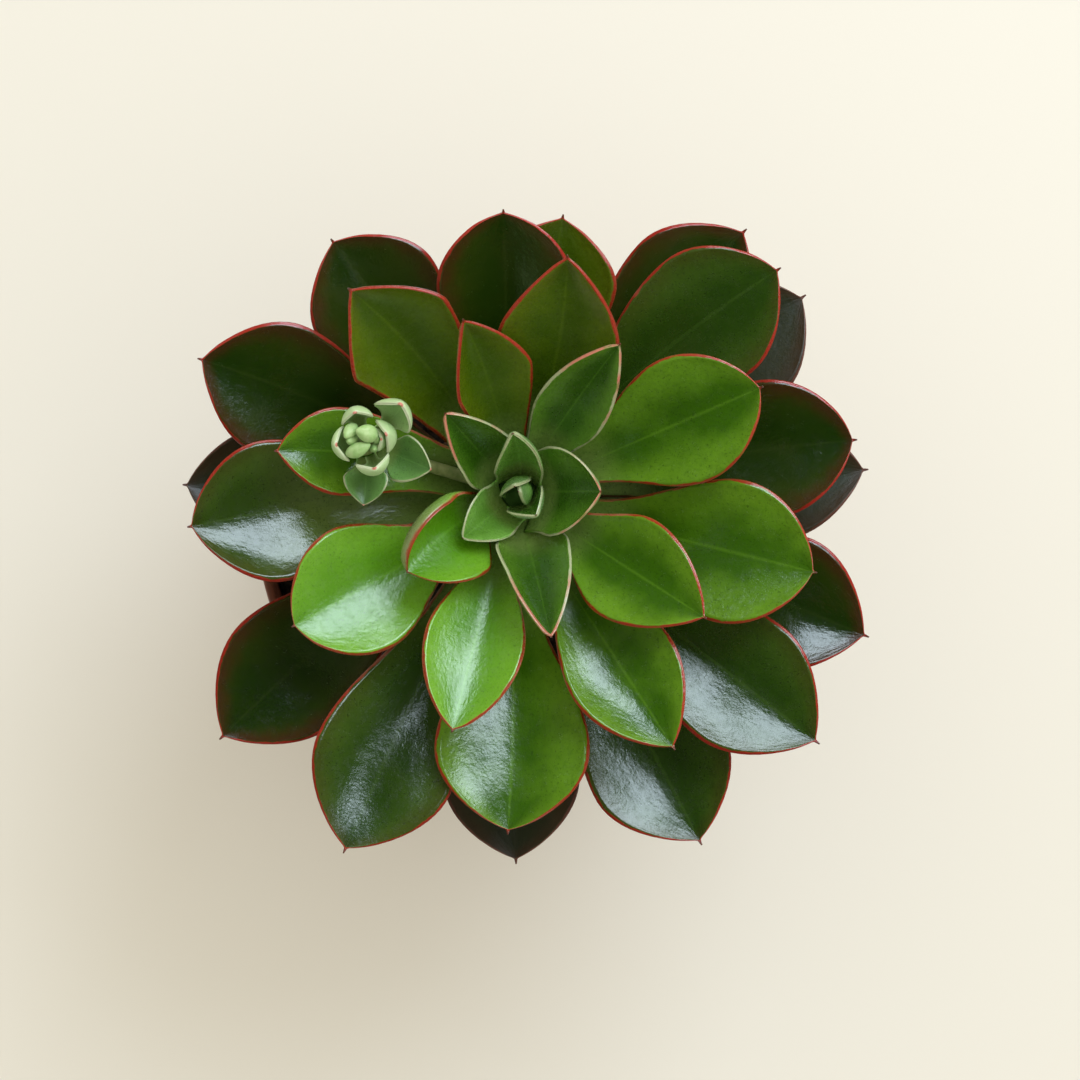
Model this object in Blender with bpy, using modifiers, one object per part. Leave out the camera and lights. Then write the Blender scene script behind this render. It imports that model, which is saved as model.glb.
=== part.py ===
"""Potted rosette succulent: a round plastic pot, its soil, a short leaning stem, spiral leaves and a young flower shoot.

Run with: blender --background --python part.py
The model is in metres, +Z up. Its origin is the middle of the pot's underside, on the surface that it stands on.
Lengths below are in millimetres and angles in degrees. MM turns millimetres into metres.
"""

import math
from collections import namedtuple

import bmesh
import bpy
from mathutils import Quaternion, Vector, noise

MM = 0.001
CLEARANCE = 0.3

# ---- pot ----
POT_HEIGHT = 115.0
POT_RIM_RADIUS = 66.0
POT_FOOT_RADIUS = 46.0
POT_WALL = 1.8
POT_FLOOR = 3.4
RIM_THICK = 2.4
COLLAR_HEIGHT = 19.0
COLLAR_DRAFT = 0.8
COLLAR_STEP = 2.6
COLLAR_SLOPE = 1.5
FLOOR_FILLET = 4.0
FOOT_ROUND = 1.2
CENTRE_PAD_RADIUS = 13.0
FOOT_RING_WIDTH = 7.0
RECESS_DEPTH = 1.6
DRAIN_HOLE_RADIUS = 4.0
DRAIN_HOLES = 6
POT_STEPS = 36
HOLE_SEGMENTS = 16

# ---- soil ----
SOIL_BELOW_RIM = 12.0
SOIL_TOP = POT_HEIGHT - SOIL_BELOW_RIM
SOIL_LUMP = 1.3
SOIL_LUMP_SIZE = 9.0
SOIL_RINGS = 5

# ---- main stem, which stands in the soil and then leans towards the light ----
STEM_IN_SOIL = 21.0
STEM_ABOVE_SOIL = 49.0
STEM_BOTTOM = SOIL_TOP - STEM_IN_SOIL
STEM_TOP = SOIL_TOP + STEM_ABOVE_SOIL
STEM_AT_SOIL = (-5.5, 5.0)
STEM_AT_TOP = (5.2, 8.4)
STEM_RADIUS = 7.6
STEM_TIP_RADIUS = 0.9
STEM_TAPER_LENGTH = 15.0
STEM_TAPER_POWER = 0.65
STEM_BODY_POINTS = 4
STEM_TAPER_POINTS = 6

# ---- leaves: the youngest sits highest, and each older one is attached a little lower ----
FIRST_LEAF_HEIGHT = STEM_TOP - 0.5
LEAF_SPACING = 0.85
FULL_SIZE_LENGTH = 80.0
LEAF_THICKNESS = 3.6
BASE_THICKNESS_SHARE = 0.7
TIP_THINNING = 0.5
FORMED_BY = 0.3
MARGIN_THICKNESS = 0.9
MIDRIB_FOLD = 8.0
PETIOLE_CHANNEL = 14.0
BASE_CURL = 0.45
SHOULDER = 1.4
BODY_END = 0.984
END_POWER = 0.86
CORNER_POWER = 1.5
POINT_START = 0.94
POINT_WIDTH = 0.9
POINT_END_WIDTH = 0.12
YOUNG_LEAVES = 6
GREEN_LEAVES = 28
LEAF_STATIONS = (0.0, 0.14, 0.29, 0.44, 0.57, 0.68, 0.78, 0.87, 0.93, 0.975, 1.0)
LEAF_COLUMNS = 4

# node: the leaf's place along the spiral, counted down from the tip of the stem. azimuth: way that it grows.
# base, widest: half-width at the base as a share of the widest, and how far out it is widest. pitch, tip_pitch: its
# rise at base and tip. sweep: sideways bend to the left, looking outwards. roll: left side up. curl_left,
# curl_right: how far each margin turns up. end: power of the curve that closes the outline, and the less, the
# blunter it is. corner: from 0, smooth at its widest, to 1, angular there.
Leaf = namedtuple(
    "Leaf",
    "node azimuth length half_width base widest pitch tip_pitch sweep roll curl_left curl_right end corner",
    defaults=(END_POWER, 0.0),
)

LEAVES = (
    Leaf(0, 15, 12, 3.4, 0.60, 0.45, 82, 96, 0, 0, 80, 80),
    Leaf(1, 130, 15, 4.6, 0.50, 0.45, 72, 88, -20, 0, 70, 60),
    Leaf(2, 305, 14, 6.8, 0.55, 0.50, 64, 80, 0, 0, 60, 60),
    Leaf(3, 85, 26, 7.6, 0.55, 0.45, 60, 70, 30, 0, 40, 80),
    Leaf(4, 220, 20, 8.0, 0.44, 0.45, 46, 44, 0, 0, 35, 60),
    Leaf(5, 2, 25, 13.0, 0.48, 0.50, 44, 52, -4, 0, 42, 42, 0.55),
    Leaf(6, 132, 32, 9.8, 0.46, 0.45, 50, 44, 0, 0, 70, 50),
    Leaf(7, 284, 42, 10.8, 0.38, 0.38, 42, 38, 0, 0, 28, 75),
    Leaf(8, 58, 52, 9.8, 0.42, 0.55, 42, 38, -8, 0, 28, 28),
    Leaf(9, 208, 34, 14.4, 0.30, 0.50, 44, 32, -5, 0, 22, 115, 0.45),
    Leaf(10, 327, 60, 14.5, 0.27, 0.60, 34, 28, 0, 0, 24, 24),
    Leaf(11, 98, 52, 12.0, 0.30, 0.64, 41, 43, 18, 8, 56, 20, 0.86, 0.6),
    Leaf(12, 256, 62, 13.4, 0.28, 0.62, 31, 24, 0, 0, 24, 24, 0.75),
    Leaf(13, 23, 69, 17.0, 0.24, 0.70, 30, 24, 0, 0, 20, 20, 0.65),
    Leaf(14, 158, 59, 11.5, 0.34, 0.72, 27, 20, 26, 0, 20, 20),
    Leaf(15, 303, 75, 15.0, 0.23, 0.68, 26, 20, 0, 0, 20, 20),
    Leaf(16, 66, 68, 16.0, 0.22, 0.66, 36, 40, 23, 0, 16, 24, 0.75, 0.6),
    Leaf(17, 214, 61, 17.5, 0.24, 0.68, 26, 20, -6, 0, 20, 20, 0.60),
    Leaf(18, 346, 77, 19.0, 0.19, 0.72, 22, 16, 0, 0, 20, 20, 0.65),
    Leaf(19, 116, 68, 17.0, 0.22, 0.74, 30, 34, 26, 0, 24, 45, 0.86, 0.9),
    Leaf(20, 274, 81, 20.5, 0.18, 0.74, 18, 12, -8, 0, 20, 20, 0.75),
    Leaf(21, 46, 88, 18.5, 0.22, 0.76, 22, 18, -14, 0, 20, 20, 0.75),
    Leaf(22, 180, 77, 19.0, 0.20, 0.72, 21, 15, 12, 0, 26, 20, 0.75),
    Leaf(23, 322, 97, 18.5, 0.22, 0.74, 16, 10, 0, 0, 20, 20),
    Leaf(24, 88, 74, 18.0, 0.23, 0.74, 26, 34, 4, 0, 20, 20, 0.60),
    Leaf(25, 246, 93, 19.0, 0.21, 0.74, 14, 8, 0, 0, 20, 20),
    Leaf(26, 13, 87, 18.5, 0.22, 0.74, 14, 12, -8, 0, 20, 20, 0.65),
    Leaf(27, 148, 82, 18.0, 0.20, 0.74, 19, 20, 16, 0, 14, 20),
    Leaf(28, 303, 97, 19.5, 0.165, 0.76, 11, 6, -6, 0, 20, 20),
    Leaf(29, 75, 72, 17.5, 0.23, 0.78, 20, 26, 5, 0, 20, 20),
    Leaf(30, 217, 89, 18.5, 0.21, 0.72, 12, 8, 8, 0, 20, 20),
    Leaf(31, 342, 96, 18.5, 0.165, 0.76, 10, 8, -5, 0, 20, 20),
    Leaf(32, 118, 76, 18.5, 0.22, 0.76, 17, 23, 10, 0, 20, 20, 0.75),
    Leaf(33, 273, 88, 18.5, 0.21, 0.74, 6, 2, 0, 0, 20, 20),
    Leaf(34, 50, 90, 17.5, 0.22, 0.76, 12, 12, -6, 0, 20, 20),
    Leaf(35, 177, 75, 16.5, 0.24, 0.72, 10, 8, 0, 0, 20, 20),
    Leaf(39, 5, 92, 17.0, 0.24, 0.74, 6, 6, 0, 0, 20, 20),
    Leaf(47, 31, 94, 18.5, 0.22, 0.78, 9, 7, 5, 0, 20, 20),
)

# ---- flower shoot: a stalk from a leaf axil, with cupped bracts and buds around its fleshy top ----
# The last number of each stalk point is its height above the top of the stem.
STALK_RADIUS = 1.6
STALK_AZIMUTH = 157.0
STALK_HEIGHT = STEM_TOP - 9.8
STALK_POINTS = ((-12.0, 13.1, -6.0), (-19.5, 15.3, -2.2), (-27.0, 17.8, 1.8), (-32.0, 19.8, 5.0))
SHOOT_X = -34.3
SHOOT_Y = 20.8
SHOOT_BOTTOM = STEM_TOP + 8.0
SHOOT_TOP = SHOOT_BOTTOM + 10.0
SHOOT_RADIUS = 3.6
SHOOT_WIDEST = 0.6
SHOOT_NECK = 0.8
SHOOT_END = 0.7
BRACT_STATIONS = (0.0, 0.2, 0.4, 0.6, 0.78, 0.92, 1.0)

# A bract is a small leaf, and its node is its distance below the top of the shoot.
BRACTS = (
    Leaf(9.0, 337, 16, 6.5, 0.40, 0.50, 20, 30, 0, 0, 40, 20),
    Leaf(8.0, 274, 13, 6.0, 0.40, 0.50, 22, 16, -12, 0, 30, 30),
    Leaf(7.0, 37, 20, 6.6, 0.22, 0.62, 22, 100, 22, 0, 50, 50),
    Leaf(5.5, 13.5, 14, 5.2, 0.22, 0.60, 42, 120, 10, 0, 50, 50),
    Leaf(4.5, 295, 13, 5.6, 0.26, 0.60, 30, 115, -10, 0, 60, 60),
    Leaf(4.0, 190, 10, 5.4, 0.35, 0.60, 34, 115, 0, 0, 50, 50),
    Leaf(3.5, 104, 12, 5.0, 0.35, 0.60, 30, 120, 0, 0, 55, 55),
    Leaf(2.5, 3, 8, 3.4, 0.35, 0.60, 60, 110, 0, 0, 50, 50),
)

# Each bud's place from the middle of the shoot, its radius and its length.
BUDS = (
    (1.1, 2.0, 1.9, 8.0),
    (-1.9, 2.6, 1.3, 7.0),
    (-2.2, 0.2, 1.3, 6.0),
    (-0.4, -2.2, 1.5, 5.6),
    (3.4, 0.4, 1.0, 5.0),
    (2.6, -2.6, 0.9, 4.4),
)
BUD_SEGMENTS = 8
BUD_RINGS = 6


def clear_scene():
    for item in list(bpy.context.scene.objects):
        bpy.data.objects.remove(item, do_unlink=True)


def new_collection(name):
    collection = bpy.data.collections.new(name)
    bpy.context.scene.collection.children.link(collection)
    return collection


def new_material(name, colour, roughness):
    material = bpy.data.materials.new(name)
    material.use_nodes = True
    shader = material.node_tree.nodes["Principled BSDF"]
    shader.inputs["Base Color"].default_value = (*colour, 1.0)
    shader.inputs["Roughness"].default_value = roughness
    return material


def add_object(name, data, material, collection):
    item = bpy.data.objects.new(name, data)
    data.materials.append(material)
    collection.objects.link(item)
    return item


def direction(azimuth, pitch=0.0):
    """Unit vector at an azimuth from +X and a rise above the level, both in degrees."""
    turn = math.radians(azimuth)
    rise = math.radians(pitch)
    return Vector((math.cos(rise) * math.cos(turn), math.cos(rise) * math.sin(turn), math.sin(rise)))


def grid_faces(rows, columns, first, flip):
    """Quads between rows x columns of vertex numbers that start at first."""
    faces = []
    for row in range(rows - 1):
        for column in range(columns - 1):
            corner = first + row * columns + column
            face = (corner, corner + 1, corner + columns + 1, corner + columns)
            faces.append(tuple(reversed(face)) if flip else face)
    return faces


def mesh_from(name, points, faces):
    mesh = bpy.data.meshes.new(name)
    mesh.from_pydata([point * MM for point in points], [], faces)
    mesh.shade_smooth()
    mesh.set_sharp_from_angle(angle=math.radians(40))
    return mesh


# ---- main stem ----


def lean_height():
    """Height, just above the soil, where the upright stem starts to lean."""
    return SOIL_TOP + 2 * SOIL_LUMP


def stem_axis(height):
    """Point on the stem's axis at this height."""
    share = max(0.0, (height - lean_height()) / (STEM_TOP - lean_height()))
    x = STEM_AT_SOIL[0] + share * (STEM_AT_TOP[0] - STEM_AT_SOIL[0])
    y = STEM_AT_SOIL[1] + share * (STEM_AT_TOP[1] - STEM_AT_SOIL[1])
    return Vector((x, y, height))


def stem_radius(height):
    """Radius of the stem: even, then a blunt cone that carries the youngest leaves."""
    share = min(1.0, max(0.0, (STEM_TOP - height) / STEM_TAPER_LENGTH))
    return STEM_TIP_RADIUS + (STEM_RADIUS - STEM_TIP_RADIUS) * share**STEM_TAPER_POWER


def add_tube(name, centres, radii, spline_type, material, collection):
    """Round tube through centre points, with a radius at each."""
    curve = bpy.data.curves.new(name, "CURVE")
    curve.dimensions = "3D"
    curve.bevel_depth = MM
    curve.bevel_resolution = 3
    curve.resolution_u = 4
    curve.use_fill_caps = True
    spline = curve.splines.new(spline_type)
    points = spline.bezier_points if spline_type == "BEZIER" else spline.points
    points.add(len(centres) - 1)
    for point, centre, radius in zip(points, centres, radii):
        point.radius = radius
        if spline_type == "BEZIER":
            point.co = centre * MM
            point.handle_left_type = "AUTO"
            point.handle_right_type = "AUTO"
        else:
            point.co = (*(centre * MM), 1.0)
    return add_object(name, curve, material, collection)


def add_stem(material, collection):
    taper_from = STEM_TOP - STEM_TAPER_LENGTH
    heights = [STEM_BOTTOM, lean_height()]
    for step in range(1, STEM_BODY_POINTS):
        heights.append(lean_height() + (taper_from - lean_height()) * step / STEM_BODY_POINTS)
    for step in range(STEM_TAPER_POINTS + 1):
        heights.append(taper_from + STEM_TAPER_LENGTH * step / STEM_TAPER_POINTS)
    centres = [stem_axis(height) for height in heights]
    radii = [stem_radius(height) for height in heights]
    return add_tube("stem", centres, radii, "POLY", material, collection)


# ---- leaves and bracts ----


def size_factor(leaf):
    """Scale of the thickness and of the point: 1 for a full-size leaf, and less for a short young one."""
    return math.sqrt(min(1.0, leaf.length / FULL_SIZE_LENGTH))


def half_width(leaf, share):
    """Half-width at this share of the length: narrow base, broad blade, blunt end and fine point."""
    if share < leaf.widest:
        reach = share / leaf.widest
        rise = math.sin(math.pi / 2 * reach**SHOULDER) ** 2
        rise += leaf.corner * (reach - rise)
        body = leaf.base + (1 - leaf.base) * rise
    else:
        reach = min(1.0, (share - leaf.widest) / (BODY_END - leaf.widest))
        body = (1 - reach**2) ** leaf.end
        body += leaf.corner * (1 - reach**CORNER_POWER - body)
    taper = min(1.0, (1 - share) / (1 - POINT_START))
    point = POINT_WIDTH * taper * size_factor(leaf) + POINT_END_WIDTH
    return max(body * leaf.half_width, point)


def thickness(leaf, share, side):
    """Thickness at this share of the length, from midrib (side 0) to margin (side 1)."""
    filled = BASE_THICKNESS_SHARE + (1 - BASE_THICKNESS_SHARE) * min(1.0, share / FORMED_BY)
    middle = LEAF_THICKNESS * filled * (1 - TIP_THINNING * share**3)
    full = MARGIN_THICKNESS + (middle - MARGIN_THICKNESS) * (1 - side**2)
    return full * size_factor(leaf)


def leaf_frame(leaf, share):
    """Outward, left and up directions of a leaf at this share of its length."""
    azimuth = leaf.azimuth + leaf.sweep * share
    outward = direction(azimuth, leaf.pitch + (leaf.tip_pitch - leaf.pitch) * share)
    left = direction(azimuth + 90)
    left.rotate(Quaternion(outward, math.radians(leaf.roll * min(1.0, share / FORMED_BY))))
    return outward, left, outward.cross(left)


def cross_section(leaf, share, side):
    """Across and up offsets of the upper surface, and its tilt, from right margin (-1) to left margin (1)."""
    curl = leaf.curl_left if side > 0 else leaf.curl_right
    fold = math.radians(MIDRIB_FOLD)
    turn = math.radians(curl * min(1.0, BASE_CURL + share) + PETIOLE_CHANNEL * (1 - share) ** 2)
    tilt = fold + turn * abs(side)
    width = half_width(leaf, share)
    across = width * (math.sin(tilt) - math.sin(fold)) / turn
    up = width * (math.cos(fold) - math.cos(tilt)) / turn
    return math.copysign(across, side), up, math.copysign(tilt, side)


def leaf_surfaces(base, leaf, stations, columns):
    """Upper and lower rows of points of a leaf that starts at base."""
    upper = []
    lower = []
    middle = base.copy()
    previous = 0.0
    for share in stations:
        outward = leaf_frame(leaf, (share + previous) / 2)[0]
        middle = middle + outward * leaf.length * (share - previous)
        previous = share
        _, left, up = leaf_frame(leaf, share)
        for column in range(columns + 1):
            side = 2 * column / columns - 1
            across, rise, tilt = cross_section(leaf, share, side)
            point = middle + left * across + up * rise
            normal = up * math.cos(tilt) - left * math.sin(tilt)
            upper.append(point)
            lower.append(point - normal * thickness(leaf, share, side))
    return upper, lower


def clasp(points, seat):
    """Move a leaf's base row clear of the round stem that it sits on."""
    for point in points:
        foot, radius = seat(point)
        away = point - foot
        if away.length < radius:
            point += away.normalized() * (radius - away.length)


def leaf_mesh(name, leaf, start, seat, stations):
    """Closed leaf from its seat: upper and lower grids, joined along the margins, the base and the tip."""
    base = start + direction(leaf.azimuth) * seat(start)[1]
    columns = LEAF_COLUMNS
    upper, lower = leaf_surfaces(base, leaf, stations, columns)
    count = columns + 1
    clasp(upper[:count] + lower[:count], seat)
    rows = len(stations)
    below = len(upper)
    faces = grid_faces(rows, count, 0, True) + grid_faces(rows, count, below, False)
    for row in range(rows - 1):
        right = row * count
        left = right + columns
        faces.append((right, right + below, right + count + below, right + count))
        faces.append((left, left + count, left + count + below, left + below))
    last = (rows - 1) * count
    for column in range(columns):
        faces.append((column, column + 1, column + 1 + below, column + below))
        end = last + column
        faces.append((end + 1, end, end + below, end + 1 + below))
    return mesh_from(name, upper + lower, faces)


def stem_seat(point):
    """Nearest point on the stem's axis, and the radius there of the face that leaves sit on."""
    low = stem_axis(lean_height())
    along = (stem_axis(STEM_TOP) - low).normalized()
    foot = low + along * (point - low).dot(along)
    return foot, stem_radius(foot.z) + CLEARANCE


def add_leaf(number, leaf, material, collection):
    name = f"leaf_{number:02d}"
    start = stem_axis(FIRST_LEAF_HEIGHT - LEAF_SPACING * leaf.node)
    mesh = leaf_mesh(name, leaf, start, stem_seat, LEAF_STATIONS)
    return add_object(name, mesh, material, collection)


# ---- flower shoot ----


def shoot_centre(height):
    return Vector((SHOOT_X, SHOOT_Y, height))


def add_flower_stalk(material, collection):
    outward = direction(STALK_AZIMUTH)
    start = stem_axis(STALK_HEIGHT) + outward * (stem_radius(STALK_HEIGHT) + STALK_RADIUS / 2 + CLEARANCE)
    middle = SHOOT_BOTTOM + (SHOOT_TOP - SHOOT_BOTTOM) * SHOOT_WIDEST
    centres = [start]
    centres += [Vector((x, y, STEM_TOP + rise)) for x, y, rise in STALK_POINTS]
    centres += [shoot_centre(height) for height in (SHOOT_BOTTOM, middle, SHOOT_TOP)]
    radii = [STALK_RADIUS] * (1 + len(STALK_POINTS))
    radii += [SHOOT_RADIUS * share for share in (SHOOT_NECK, 1.0, SHOOT_END)]
    return add_tube("flower_stalk", centres, radii, "BEZIER", material, collection)


def shoot_seat(point):
    """Nearest point on the shoot's axis, and the radius of the face that bracts sit on."""
    return shoot_centre(point.z), SHOOT_RADIUS + CLEARANCE


def add_bract(number, bract, material, collection):
    name = f"bract_{number}"
    start = shoot_centre(SHOOT_TOP - bract.node)
    mesh = leaf_mesh(name, bract, start, shoot_seat, BRACT_STATIONS)
    return add_object(name, mesh, material, collection)


def add_bud(number, x, y, radius, length, material, collection):
    """Egg-shaped bud, standing on the top of the shoot."""
    name = f"bud_{number}"
    form = bmesh.new()
    bmesh.ops.create_uvsphere(form, u_segments=BUD_SEGMENTS, v_segments=BUD_RINGS, radius=1.0)
    bmesh.ops.scale(form, vec=Vector((radius, radius, length / 2)) * MM, verts=form.verts)
    mesh = bpy.data.meshes.new(name)
    form.to_mesh(mesh)
    form.free()
    mesh.shade_smooth()
    item = add_object(name, mesh, material, collection)
    item.location = Vector((SHOOT_X + x, SHOOT_Y + y, SHOOT_TOP + CLEARANCE + length / 2)) * MM
    return item


# ---- pot ----


def collar_bottom():
    return POT_HEIGHT - COLLAR_HEIGHT


def shoulder_radius():
    """Outer radius of the pot's body where its collar starts."""
    return POT_RIM_RADIUS - COLLAR_DRAFT - COLLAR_STEP


def body_radius(height):
    share = height / collar_bottom()
    return POT_FOOT_RADIUS + (shoulder_radius() - POT_FOOT_RADIUS) * share


def inner_wall():
    """Inner face of the pot as (radius, height) points, from its floor up to its rim."""
    points = []
    corner = body_radius(POT_FLOOR) - POT_WALL
    for step in range(3):
        turn = math.pi / 4 * step
        radius = corner - FLOOR_FILLET * (1 - math.sin(turn))
        points.append((radius, POT_FLOOR + FLOOR_FILLET * (1 - math.cos(turn))))
    points.append((shoulder_radius() - POT_WALL, collar_bottom()))
    collar_inner = POT_RIM_RADIUS - COLLAR_DRAFT - POT_WALL
    points.append((collar_inner, collar_bottom() + COLLAR_SLOPE + POT_WALL))
    points.append((POT_RIM_RADIUS - RIM_THICK, POT_HEIGHT - RIM_THICK / 2))
    return points


def pot_profile():
    """Half of the pot's section, from the middle of its floor, up inside, down outside and under to the middle."""
    rim_centre = POT_RIM_RADIUS - RIM_THICK / 2
    rim_height = POT_HEIGHT - RIM_THICK / 2
    points = [(0.0, POT_FLOOR)] + inner_wall()
    for step in range(1, 5):
        bead = direction(0, 180 * (1 - step / 4)) * RIM_THICK / 2
        points.append((rim_centre + bead.x, rim_height + bead.z))
    points.append((POT_RIM_RADIUS - COLLAR_DRAFT, collar_bottom() + COLLAR_SLOPE))
    points.append((shoulder_radius(), collar_bottom()))
    points.append((body_radius(FOOT_ROUND), FOOT_ROUND))
    points.append((POT_FOOT_RADIUS - FOOT_ROUND, 0.0))
    ring_inner = POT_FOOT_RADIUS - FOOT_ROUND - FOOT_RING_WIDTH
    points.append((ring_inner, 0.0))
    points.append((ring_inner - RECESS_DEPTH / 2, RECESS_DEPTH))
    points.append((CENTRE_PAD_RADIUS + RECESS_DEPTH / 2, RECESS_DEPTH))
    points.append((CENTRE_PAD_RADIUS, 0.0))
    points.append((0.0, 0.0))
    return points


def add_turned(name, profile, material, collection):
    """Solid of revolution from (radius, height) points."""
    points = [Vector((radius, 0.0, height)) * MM for radius, height in profile]
    edges = [(number, number + 1) for number in range(len(points) - 1)]
    mesh = bpy.data.meshes.new(name)
    mesh.from_pydata(points, edges, [])
    item = add_object(name, mesh, material, collection)
    screw = item.modifiers.new("Turn", "SCREW")
    screw.steps = POT_STEPS
    screw.render_steps = POT_STEPS
    screw.use_merge_vertices = True
    screw.merge_threshold = 0.0001
    screw.use_smooth_shade = True
    return item


def add_cylinder_cutter(name, centre, radius, height, cutters):
    form = bmesh.new()
    bmesh.ops.create_cone(
        form, cap_ends=True, segments=HOLE_SEGMENTS, radius1=radius * MM, radius2=radius * MM, depth=height * MM
    )
    mesh = bpy.data.meshes.new(name)
    form.to_mesh(mesh)
    form.free()
    cutter = bpy.data.objects.new(name, mesh)
    cutter.location = centre * MM
    cutter.hide_render = True
    cutter.display_type = "WIRE"
    cutters.objects.link(cutter)
    return cutter


def cut(item, cutter):
    boolean = item.modifiers.new(cutter.name, "BOOLEAN")
    boolean.operation = "DIFFERENCE"
    boolean.solver = "EXACT"
    boolean.object = cutter


def add_pot(material, collection, cutters):
    pot = add_turned("pot", pot_profile(), material, collection)
    ring_inner = POT_FOOT_RADIUS - FOOT_ROUND - FOOT_RING_WIDTH
    for number in range(DRAIN_HOLES):
        centre = direction(360 * number / DRAIN_HOLES) * (CENTRE_PAD_RADIUS + ring_inner) / 2
        cut(pot, add_cylinder_cutter(f"drain_{number + 1}", centre, DRAIN_HOLE_RADIUS, 4 * POT_FLOOR, cutters))
    return pot


# ---- soil ----


def soil_rings():
    """Rings of points up the soil's side and then in across its lumpy top."""
    side = [(radius - CLEARANCE, height + CLEARANCE) for radius, height in inner_wall() if height < SOIL_TOP]
    below = side[-1]
    rim_radius, rim_height = inner_wall()[-1]
    share = (SOIL_TOP - below[1]) / (rim_height - below[1])
    edge = below[0] + share * (rim_radius - CLEARANCE - below[0])
    profile = side + [(edge, SOIL_TOP)]
    top_from = len(profile)
    profile += [(edge * (1 - (ring + 1) / (SOIL_RINGS + 1)), SOIL_TOP) for ring in range(SOIL_RINGS)]
    rings = []
    for number, (radius, height) in enumerate(profile):
        ring = [direction(360 * step / POT_STEPS) * radius for step in range(POT_STEPS)]
        for point in ring:
            lump = noise.noise(point / SOIL_LUMP_SIZE) * SOIL_LUMP if number >= top_from else 0.0
            point.z = height + lump
        rings.append(ring)
    return rings


def add_soil(material, collection, cutters):
    rings = soil_rings()
    points = [point for ring in rings for point in ring]
    faces = []
    for number in range(len(rings) - 1):
        for step in range(POT_STEPS):
            here = number * POT_STEPS + step
            beside = number * POT_STEPS + (step + 1) % POT_STEPS
            faces.append((here, beside, beside + POT_STEPS, here + POT_STEPS))
    faces.append(tuple(reversed(range(POT_STEPS))))
    middle = sum((point for point in rings[-1]), Vector()) / POT_STEPS
    points.append(middle)
    last = (len(rings) - 1) * POT_STEPS
    for step in range(POT_STEPS):
        faces.append((last + step, last + (step + 1) % POT_STEPS, len(points) - 1))
    soil = add_object("soil", mesh_from("soil", points, faces), material, collection)
    depth = SOIL_TOP - STEM_BOTTOM + CLEARANCE
    centre = stem_axis(STEM_BOTTOM - CLEARANCE + depth)
    cut(soil, add_cylinder_cutter("stem_hole", centre, STEM_RADIUS + 2 * CLEARANCE, 2 * depth, cutters))
    return soil


def main():
    clear_scene()
    parts = new_collection("potted_succulent")
    cutters = new_collection("cutters")
    terracotta = new_material("pot_plastic", (0.32, 0.12, 0.07), 0.5)
    earth = new_material("soil", (0.03, 0.02, 0.015), 0.95)
    bark = new_material("stem", (0.20, 0.17, 0.08), 0.7)
    young = new_material("young_leaf", (0.10, 0.25, 0.07), 0.38)
    green = new_material("leaf", (0.08, 0.22, 0.03), 0.36)
    old = new_material("old_leaf", (0.04, 0.08, 0.015), 0.4)
    waxy = new_material("bract", (0.45, 0.58, 0.38), 0.5)
    bud_green = new_material("bud", (0.35, 0.52, 0.25), 0.45)

    add_pot(terracotta, parts, cutters)
    add_soil(earth, parts, cutters)
    add_stem(bark, parts)
    for number, leaf in enumerate(LEAVES, start=1):
        material = young if number <= YOUNG_LEAVES else green if number <= GREEN_LEAVES else old
        add_leaf(number, leaf, material, parts)
    add_flower_stalk(waxy, parts)
    for number, bract in enumerate(BRACTS, start=1):
        add_bract(number, bract, waxy, parts)
    for number, (x, y, radius, length) in enumerate(BUDS, start=1):
        add_bud(number, x, y, radius, length, bud_green, parts)


main()
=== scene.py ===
"""Look of the potted succulent: fine leaves, flower shoot, stem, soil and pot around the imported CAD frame.

Lengths are in millimetres and angles in degrees, in the frame of the CAD model.
MM turns millimetres into metres.
"""

import math
import random
from collections import namedtuple

import bmesh
import bpy
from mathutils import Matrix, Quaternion, Vector, noise


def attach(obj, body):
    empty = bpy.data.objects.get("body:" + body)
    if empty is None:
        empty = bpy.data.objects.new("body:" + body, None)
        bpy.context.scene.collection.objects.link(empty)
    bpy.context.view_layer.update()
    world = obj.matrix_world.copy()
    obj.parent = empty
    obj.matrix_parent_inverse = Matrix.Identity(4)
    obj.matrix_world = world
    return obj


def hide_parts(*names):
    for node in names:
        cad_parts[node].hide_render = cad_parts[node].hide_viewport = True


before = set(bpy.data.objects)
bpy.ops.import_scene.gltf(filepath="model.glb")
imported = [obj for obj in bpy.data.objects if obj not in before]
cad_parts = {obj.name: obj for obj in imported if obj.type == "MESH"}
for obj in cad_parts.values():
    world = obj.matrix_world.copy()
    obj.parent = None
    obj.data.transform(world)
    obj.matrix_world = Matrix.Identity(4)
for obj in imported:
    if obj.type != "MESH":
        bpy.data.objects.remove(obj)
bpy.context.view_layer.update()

MM = 0.001
CLEARANCE = 0.3

# ---- the plant's build, as in the CAD model but for the leaf points, which are narrower ----
STEM_BOTTOM = 82.0
STEM_TOP = 152.0
STEM_LEAN_FROM = 105.6
STEM_AT_SOIL = (-5.5, 5.0)
STEM_AT_TOP = (5.2, 8.4)
STEM_RADIUS = 7.6
STEM_TIP_RADIUS = 0.9
STEM_TAPER_LENGTH = 15.0
STEM_TAPER_POWER = 0.65
FIRST_LEAF_HEIGHT = 151.5
LEAF_SPACING = 0.85
FULL_SIZE_LENGTH = 80.0
LEAF_THICKNESS = 3.6
BASE_THICKNESS_SHARE = 0.7
TIP_THINNING = 0.5
FORMED_BY = 0.3
MARGIN_THICKNESS = 0.9
MIDRIB_FOLD = 8.0
PETIOLE_CHANNEL = 14.0
BASE_CURL = 0.45
SHOULDER = 1.4
BODY_END = 0.984
END_POWER = 0.86
CORNER_POWER = 1.5
POINT_START = 0.94
POINT_WIDTH = 0.6
POINT_END_WIDTH = 0.10
POINT_THINS_FROM = 0.955
STALK_RADIUS = 1.6
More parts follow.
